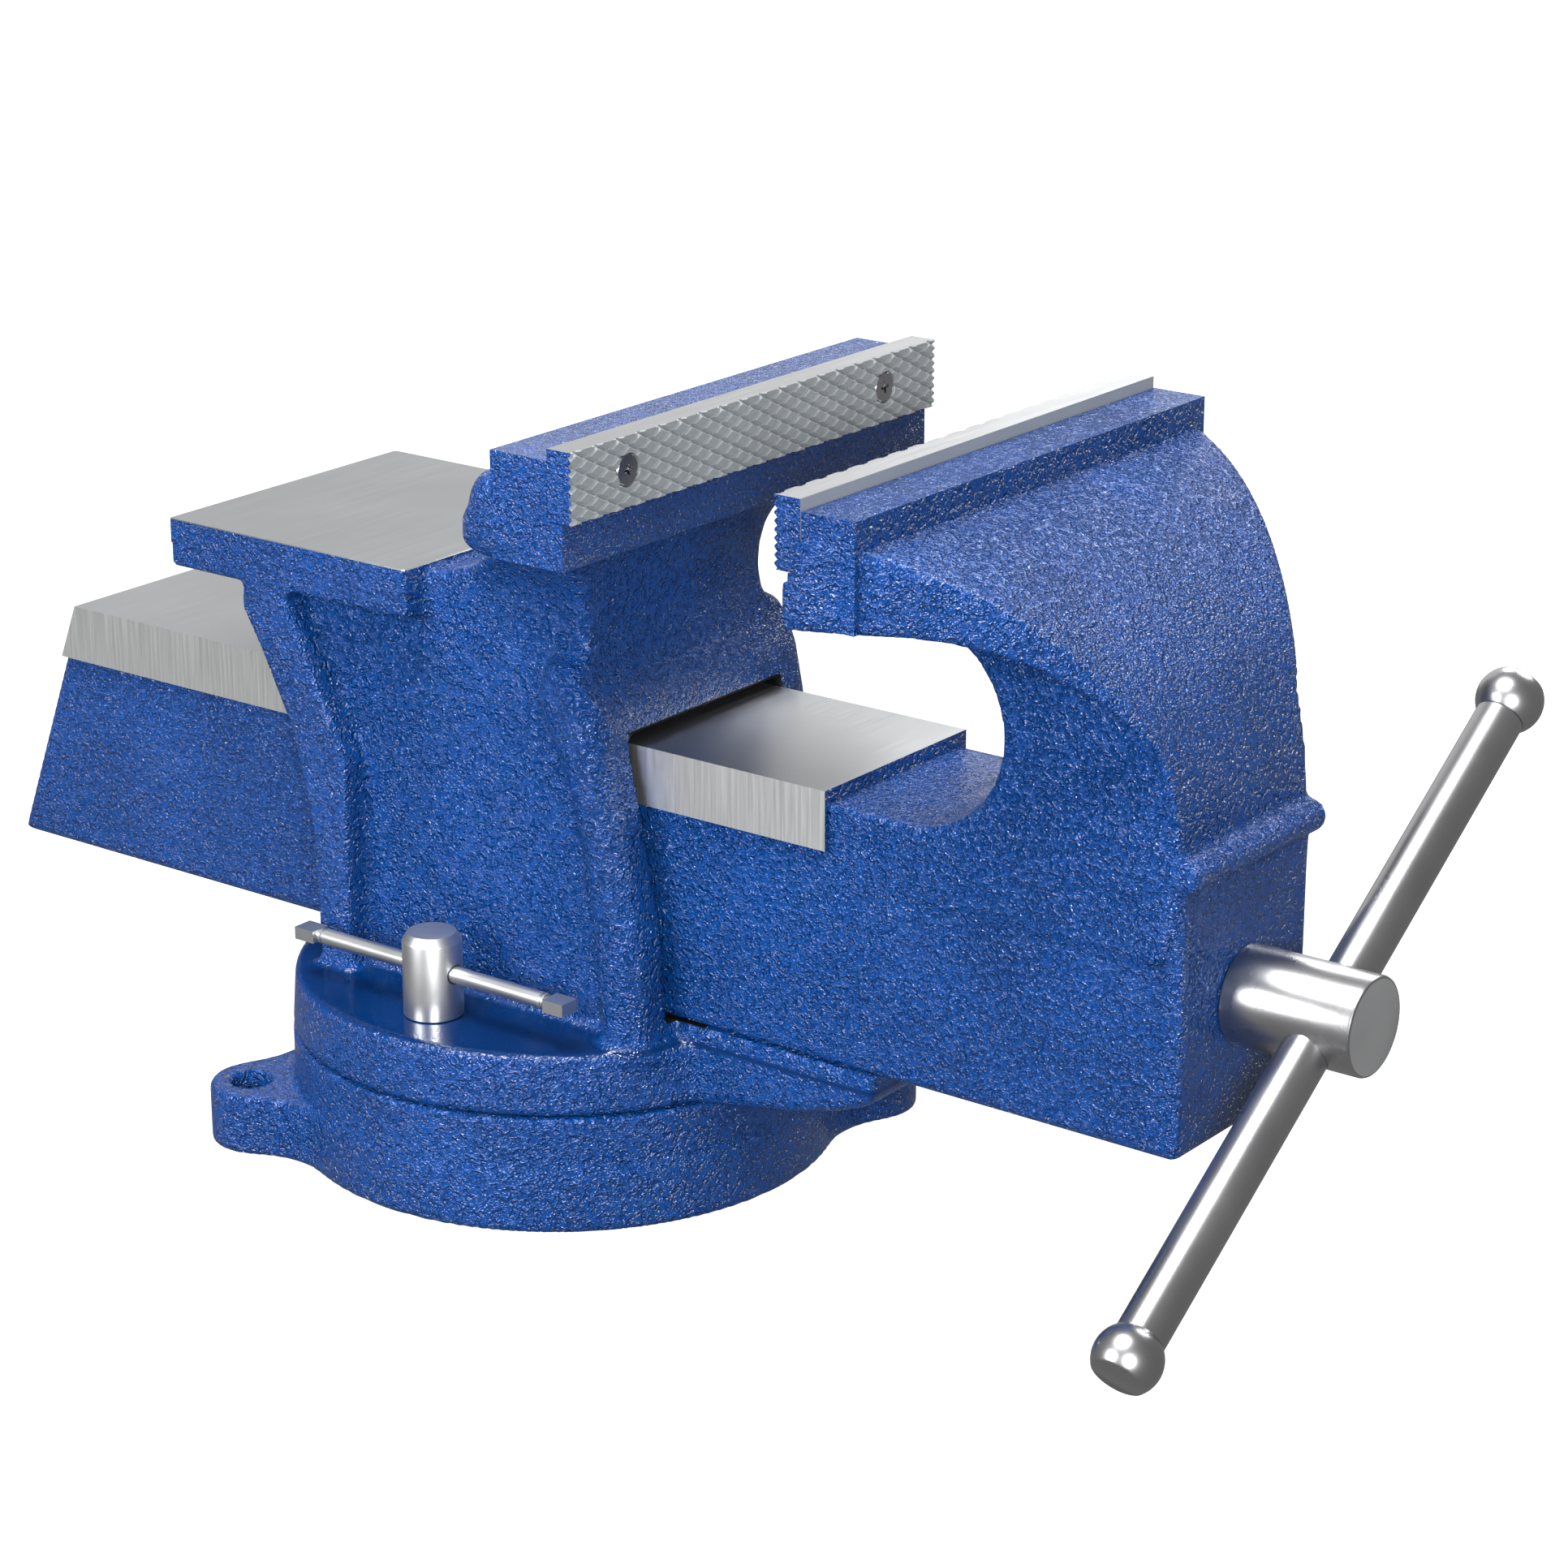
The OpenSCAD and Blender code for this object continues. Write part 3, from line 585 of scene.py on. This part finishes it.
def subtract(ob, tool):
    """Cuts the tool's shape out of a piece and throws the tool away."""
    mod = ob.modifiers.new("cut", "BOOLEAN")
    mod.operation = "DIFFERENCE"
    mod.solver = "EXACT"
    mod.object = tool
    graph = bpy.context.evaluated_depsgraph_get()
    mesh = bpy.data.meshes.new_from_object(ob.evaluated_get(graph))
    ob.modifiers.clear()
    old = ob.data
    ob.data = mesh
    bpy.data.meshes.remove(old)
    bpy.data.objects.remove(tool)


def tool_from(bm):
    ob = bpy.data.objects.new("tool", mesh_from("tool", bm))
    bpy.context.scene.collection.objects.link(ob)
    return ob


TO_X = Matrix.Rotation(math.pi / 2, 4, "Y")


def on_x(x, y, z, flip=False):
    """A place whose local Z axis looks along +X, or along -X when flipped."""
    turn = Matrix.Rotation(-math.pi / 2, 4, "Y") if flip else TO_X
    return Matrix.Translation((x, y, z)) @ turn


# castings
casting("swivel_base_casting", swivel_base_shape, "base", "swivel_base")
# the bore of the fixed casting gets the dark iron colour as painted shade
casting("fixed_jaw_casting", fixed_body_shape, "fixed_jaw", "fixed_jaw_body", passage_shade)
casting("sliding_jaw_casting", sliding_body_shape, "sliding_jaw", "sliding_jaw_body")


# square blocks behind the jaw plates
def make_jaw_block(name, back_x, face_x, seat_x, body):
    """A block that ends at face_x below its plate's seat and at seat_x above it, a hair off the plate."""
    hair = 0.35
    seat_x += hair if back_x > face_x else -hair
    y = HALF_JAW - 0.05
    bm = bmesh.new()
    prism(bm, [(back_x, -y, JAW_UNDER), (face_x, -y, JAW_UNDER), (face_x, -y, SEAT_Z - hair),
               (seat_x, -y, SEAT_Z - hair), (seat_x, -y, JAW_TOP), (back_x, -y, JAW_TOP)], (0, 2 * y, 0))
    bevel_edges(bm, 0.7, segments=3)
    from_bmesh(name, bm, [paint], body)


make_jaw_block("fixed_jaw_block", 57, FACE_X - 4, FACE_X - PLATE_T, "fixed_jaw")
make_jaw_block("sliding_jaw_block", MOVE_X + 30.5, MOVE_X + 5, MOVE_X + PLATE_T, "sliding_jaw")


# machined top of the anvil
def make_anvil():
    bm = bmesh.new()
    y = FLANGE_Y
    z0 = ANVIL_Z1 - 9
    prism(bm, [(ANVIL_X0, -y, z0), (ANVIL_X1, -y, z0), (ANVIL_X1, y, z0), (ANVIL_X0, y, z0)], (0, 0, 9))
    side = [e for e in bm.edges if abs(e.verts[0].co.z - e.verts[1].co.z) > 1]
    bmesh.ops.bevel(bm, geom=side, offset=1.5, segments=3, affect="EDGES", profile=0.5)
    top = [e for e in bm.edges if min(v.co.z for v in e.verts) > ANVIL_Z1 - 0.01]
    bmesh.ops.bevel(bm, geom=top, offset=0.3, segments=1, affect="EDGES", profile=0.5)
    ob = from_bmesh("anvil_top", bm, [paint, anvil_face], "fixed_jaw")
    paint_by(ob, lambda c, n: 1 if n.z > 0.5 else 0)


# machined ways of the slide
def make_ways():
    bm = bmesh.new()
    slope = (-204.4 + 212.8) / (SLIDE_TOP - STRIP_Z)
    rear_foot, rear_lean = MOVE_X - 414, 0.386
    rear_low = rear_foot + (STRIP_Z - SLIDE_Z0) * rear_lean
    rear_top = rear_low + (SLIDE_TOP - STRIP_Z) * slope
    prism(bm, [(rear_low, -WAY_Y, STRIP_Z), (STRIP_END, -WAY_Y, STRIP_Z), (STRIP_END, -WAY_Y, SLIDE_TOP),
               (rear_top, -WAY_Y, SLIDE_TOP)], (0, 2 * WAY_Y, 0))
    bevel_edges(bm, 0.35, segments=1)
    ob = from_bmesh("slide_ways", bm, [paint, way_top, way_side_painted_light], "sliding_jaw")

    # the sides get the lighter copy of the cut steel as a painted reflection
    def rule(c, n):
        if n.z > 0.5:
            return 1
        return 2 if abs(n.y) > 0.5 else 0
    paint_by(ob, rule)


make_anvil()
make_ways()


# ------------------------------------------------------------------ jaw plates

TOOTH_Y, TOOTH_Z = 10.8, 5.4
GROOVE = 0.2
DEPTH = 1.15
SCREW_HEAD_R = 5.4


def plate_screw(face_x, side, way):
    """The place of a plate's screw, on its face and looking out of it."""
    return on_x(face_x, side * PLATE_SCREW_Y, PLATE_SCREW_Z, flip=way < 0)


def make_plate(name, face_x, way, body, node):
    """A plate whose face is cut by two sets of slanting V grooves; way is the side its face looks to."""
    bm = bmesh.new()
    low_z, high_z = SEAT_Z, PLATE_TOP
    reach = int(2 * HALF_JAW / TOOTH_Y) + 12
    steps = sorted(k + w for k in range(-reach, reach + 1) for w in (-GROOVE, 0.0, GROOVE))
    middle = (low_z + high_z) / 2 + 0.8

    def height(t):
        return min(abs(t - round(t)) / GROOVE, 1.0)

    grid = {}
    for i, u in enumerate(steps):
        for j, v in enumerate(steps):
            y = (u + v) * TOOTH_Y / 2
            z = middle + (u - v) * TOOTH_Z / 2
            if abs(y) < HALF_JAW + 14 and low_z - 7 < z < high_z + 7:
                h = min(height(u), height(v)) - 1
                grid[i, j] = bm.verts.new((face_x + way * h * DEPTH, y, z))
    for (i, j), a in grid.items():
        b, c, d = (grid.get(k) for k in ((i + 1, j), (i + 1, j + 1), (i, j + 1)))
        if b and c and d:
            ha, hc = a.co.x * way, c.co.x * way
            hb, hd = b.co.x * way, d.co.x * way
            if abs(ha - hc) >= abs(hb - hd):
                bm.faces.new((a, b, c))
                bm.faces.new((a, c, d))
            else:
                bm.faces.new((a, b, d))
                bm.faces.new((b, c, d))
    for co, no in (((0, HALF_JAW, 0), (0, 1, 0)), ((0, -HALF_JAW, 0), (0, -1, 0)),
                   ((0, 0, high_z), (0, 0, 1)), ((0, 0, low_z), (0, 0, -1))):
        bmesh.ops.bisect_plane(bm, geom=bm.verts[:] + bm.edges[:] + bm.faces[:], plane_co=co, plane_no=no,
                               clear_outer=True, dist=1e-5)
    rim = [e for e in bm.edges if e.is_boundary]
    out = bmesh.ops.extrude_edge_only(bm, edges=rim)
    moved = [g for g in out["geom"] if isinstance(g, bmesh.types.BMVert)]
    for v in moved:
        v.co.x = face_x - way * PLATE_T
    back = [g for g in out["geom"] if isinstance(g, bmesh.types.BMEdge)
            and all(abs(v.co.x - face_x + way * PLATE_T) < 1e-4 for v in g.verts)]
    bmesh.ops.contextual_create(bm, geom=back)
    bmesh.ops.dissolve_degenerate(bm, dist=1e-5, edges=bm.edges)
    ob = from_bmesh(name, bm, [paint, teeth, way_top], body, [node], sharp=20.0)

    def rule(c, n):
        if abs(n.y) > 0.9 and abs(abs(c.y) - HALF_JAW) < 0.1:
            return 0
        if n.z > 0.9 and c.z > high_z - 0.1:
            return 2
        return 1
    for s in (-1, 1):
        tool = bmesh.new()
        at = plate_screw(face_x, s, way)
        turned(tool, [(0, -6.2), (5.75, -6.2), (5.75, 5), (0, 5)], at, 48)
        subtract(ob, tool_from(tool))
    paint_by(ob, rule)
    reshade(ob, 20)


def make_plate_screws(name, face_x, way, body, node):
    """Flush cap screws with a small cross recess."""
    bm = bmesh.new()
    for s in (-1, 1):
        at = plate_screw(face_x, s, way)
        turned(bm, [(0, -24), (2.6, -24), (3, -23.4), (3, -6), (SCREW_HEAD_R, -6), (SCREW_HEAD_R, -1.0),
                    (5.0, -0.55), (0, -0.45)], at, 48)
    ob = from_bmesh(name, bm, [screw_steel], body, [node])
    for s in (-1, 1):
        at = plate_screw(face_x, s, way)
        for turn in (0, 90):
            tool = bmesh.new()
            spin = Matrix.Rotation(math.radians(turn + 8), 4, "Z")
            wide, long = 0.55, 2.1
            corners = [(-long, -wide), (long, -wide), (long, wide), (-long, wide)]
            prism(tool, [at @ spin @ Vector((a, b, 2)) for a, b in corners],
                  (at.to_3x3() @ Vector((0, 0, -5))))
            subtract(ob, tool_from(tool))
    reshade(ob, 30)


make_plate("fixed_plate", FACE_X, 1, "fixed_jaw", "fixed_jaw_plate")
make_plate("sliding_plate", MOVE_X, -1, "sliding_jaw", "sliding_jaw_plate")
make_plate_screws("fixed_plate_screws", FACE_X, 1, "fixed_jaw", "fixed_jaw_screws")
make_plate_screws("sliding_plate_screws", MOVE_X, -1, "sliding_jaw", "sliding_jaw_screws")


# ------------------------------------------------------------------ screw, handle and locks

HANDLE = (Matrix.Translation((MOVE_X + 144, 0, SCREW_Z))
          @ Matrix.Rotation(math.radians(-HANDLE_LEAN), 4, "X"))


def make_spindle():
    """The screw's plain front with its head, and its thread, which run into each other inside the slide."""
    head0, head1 = FRONT_X + 0.3, FRONT_X + 47.8
    plain0 = 253
    bm = bmesh.new()
    turned(bm, [(0, plain0), (SHANK_R, plain0), (SHANK_R, head0), (16.3, head0), (16.8, head0 + 0.5),
                (16.8, head1 - 1.1), (16.5, head1 - 0.35), (15.8, head1), (0, head1)],
           on_x(0, 0, SCREW_Z), 96)
    ob = from_bmesh("spindle_head", bm, [bright, turned_end_painted_light], "screw", ["spindle"])
    tool = bmesh.new()
    turned(tool, [(0, -30), (8.33, -30), (8.33, 30), (0, 30)], HANDLE, 64)
    subtract(ob, tool_from(tool))
    # the end face gets the lighter steel as painted light
    paint_by(ob, lambda c, n: 1 if n.x > 0.9 and c.x > head1 - 0.2 else 0)
    reshade(ob, 30)
    start = MOVE_X - 307
    pitch = 6.0
    per_turn = 8
    sides = 48
    rows = int((plain0 + 1 - start) / pitch * per_turn) + 1
    points, faces = [], []
    for i in range(rows):
        x = start + i * pitch / per_turn
        for j in range(sides):
            a = 2 * math.pi * j / sides
            t = (x / pitch - j / sides) % 1.0
            d = abs(t - 0.5) * 2
            r = SHANK_R - 2.9 * min(max((0.62 - d) / 0.24, 0), 1)
            ends = min(x - start, 6) / 6
            r = min(r, 11.0 + 2.95 * ends)
            points.append((x, r * math.sin(a), SCREW_Z + r * math.cos(a)))
    for i in range(rows - 1):
        for j in range(sides):
            k = (j + 1) % sides
            faces.append((i * sides + j, (i + 1) * sides + j, (i + 1) * sides + k, i * sides + k))
    faces.append(list(range(sides)))
    faces.append(list(range((rows - 1) * sides, rows * sides))[::-1])
    add("spindle_thread", points, faces, [oiled], "screw", sharp=30)


def make_handle():
    """The bar and its two balls, each cut flat where it meets the bar and at its outer end."""
    reach = HANDLE_HALF - 7.8
    bm = bmesh.new()
    turned(bm, [(0, -reach), (7.85, -reach), (8.25, -reach + 0.4), (8.25, reach - 0.4), (7.85, reach),
                (0, reach)], HANDLE, 72)
    from_bmesh("handle_rod", bm, [bright], "handle", ["handle_bar"])
    r, inner, edge, outer = 11.38, -7.75, 6.85, 7.08
    a0, a1 = math.asin(inner / r), math.asin(edge / r)
    for s, name, node in ((1, "handle_knob_upper", "handle_ball_upper"),
                          (-1, "handle_knob_lower", "handle_ball_lower")):
        bm = bmesh.new()
        prof = [(0, inner)]
        for i in range(33):
            a = a0 + (a1 - a0) * i / 32
            prof.append((r * math.cos(a), r * math.sin(a)))
        prof += [(r * math.cos(a1) - 0.35, outer), (0, outer)]
        place = HANDLE @ Matrix.Translation((0, 0, s * HANDLE_HALF))
        if s < 0:
            place = place @ Matrix.Rotation(math.pi, 4, "X")
        turned(bm, prof, place, 72)
        from_bmesh(name, bm, [bright], "handle", [node])


def make_lock(side, word):
    """A round lock nut with its cross hole, and the bar through it with a flattened tip at each end."""
    y = side * LOCK_R
    bar_at = on_x(0, y, LOCK_BAR_Z)
    bm = bmesh.new()
    turned(bm, [(0, 65.9), (10.3, 65.9), (10.6, 66.2), (10.6, 93.2), (10.35, 93.8), (8.6, 96.4), (8.3, 96.5),
                (0, 96.5)], Matrix.Translation((0, y, 0)), 72)
    ob = from_bmesh("lock_nut_%s_turned" % word, bm, [satin], "lock_" + word,
                    ["lock_nut_" + word])
    tool = bmesh.new()
    turned(tool, [(0, -20), (3.6, -20), (3.6, 20), (0, 20)], bar_at, 40)
    subtract(ob, tool_from(tool))
    reshade(ob, 30)
    bm = bmesh.new()
    turned(bm, [(0, -50.75), (2.6, -50.75), (3, -50.4), (3, 50.4), (2.6, 50.75), (0, 50.75)], bar_at, 40)
    tip_half, tip_z, tip_thick = 3.9, 80.2, 4.6
    for s in (-1, 1):
        turned(bm, [(0, 50), (2.1, 50), (2.1, 51.3), (2.9, 51.5), (2.9, 52.3), (2.1, 52.5), (2.1, 54.5),
                    (0, 54.5)], on_x(0, y, LOCK_BAR_Z, flip=s < 0), 32)
        x0, x1 = (53.4, 62.25) if s > 0 else (-62.25, -53.4)
        tip = bmesh.new()
        prism(tip, [(x0, y - tip_half, tip_z), (x1, y - tip_half, tip_z), (x1, y + tip_half, tip_z),
                    (x0, y + tip_half, tip_z)], (0, 0, tip_thick))
        bevel_edges(tip, 1.4, segments=4)
        tip_mesh = bpy.data.meshes.new("tip")
        tip.to_mesh(tip_mesh)
        tip.free()
        bm.from_mesh(tip_mesh)
        bpy.data.meshes.remove(tip_mesh)
    from_bmesh("lock_bar_%s_turned" % word, bm, [satin], "lock_%s_bar" % word,
               ["lock_bar_" + word])


make_spindle()
make_handle()
make_lock(-1, "near")
make_lock(1, "far")

# CAD pieces that stay as they are, with better materials
for node, material in (("spindle_nut", dark_iron_and_shade), ("spindle_nut_bolts", oiled), ("pivot_bolt", oiled),
                       ("pivot_washer", oiled), ("lock_bolt_near", oiled), ("lock_bolt_far", oiled),
                       ("spindle_spring", oiled), ("spindle_washer", oiled), ("spindle_pin", oiled)):
    ob = bpy.data.objects[node]
    for s in ob.material_slots:
        s.material = material


# ------------------------------------------------------------------ studio

LAMPS = (("top", (0.0, -0.55, 1.9), 0.9, 64), ("front", (-0.5, -1.75, 0.8), 0.7, 38),
         ("right", (1.35, -1.45, 0.7), 0.5, 52), ("back", (-0.5, 1.5, 1.35), 0.5, 10),
         ("back_right", (0.3, 1.6, 1.2), 0.6, 16), ("far_panel", (-1.1, 1.4, 0.9), 1.8, 6.0))
LAMP_AIM = Vector((0.03, 0, 0.15))
FLOOR_HALF, FLOOR_DROP = 6.0, 0.0002


def make_studio():
    """Camera, world, floor and soft lamps. The floor is left out of reflections and bounced light."""
    scene = bpy.context.scene
    cam = bpy.data.cameras.new("camera")
    cam.lens = 96.49
    cam.sensor_width = 36.0
    cam.sensor_fit = "HORIZONTAL"
    co = bpy.data.objects.new("camera", cam)
    scene.collection.objects.link(co)
    co.location = (0.92443, -1.08855, 0.62285)
    co.rotation_euler = (math.radians(90 - 19.035), 0, math.radians(37.138))
    scene.camera = co
    scene.view_settings.view_transform = "Standard"
    scene.view_settings.look = "None"

    world = bpy.data.worlds.new("studio")
    world.use_nodes = True
    back = world.node_tree.nodes["Background"]
    back.inputs["Color"].default_value = (1, 1, 1, 1)
    back.inputs["Strength"].default_value = 0.22
    scene.world = world

    k = Maker("floor_white")
    k.set(Base_Color=(0.25, 0.25, 0.25, 1), Roughness=0.9, Metallic=0.0, Specular_IOR_Level=0.0,
          Emission_Color=(1, 1, 1, 1), Emission_Strength=0.95)
    mesh = bpy.data.meshes.new("floor")
    s, low = FLOOR_HALF, -FLOOR_DROP
    mesh.from_pydata([(-s, -s, low), (s, -s, low), (s, s, low), (-s, s, low)], [], [(0, 1, 2, 3)])
    mesh.materials.append(k.m)
    floor = bpy.data.objects.new("floor", mesh)
    scene.collection.objects.link(floor)
    floor.visible_diffuse = False
    floor.visible_glossy = False

    for name, place, size, energy in LAMPS:
        light = bpy.data.lights.new(name, "AREA")
        light.energy = energy
        light.size = size
        ob = bpy.data.objects.new(name, light)
        ob.location = place
        aim = LAMP_AIM - Vector(place)
        ob.rotation_euler = aim.to_track_quat("-Z", "Y").to_euler()
        scene.collection.objects.link(ob)


make_studio()
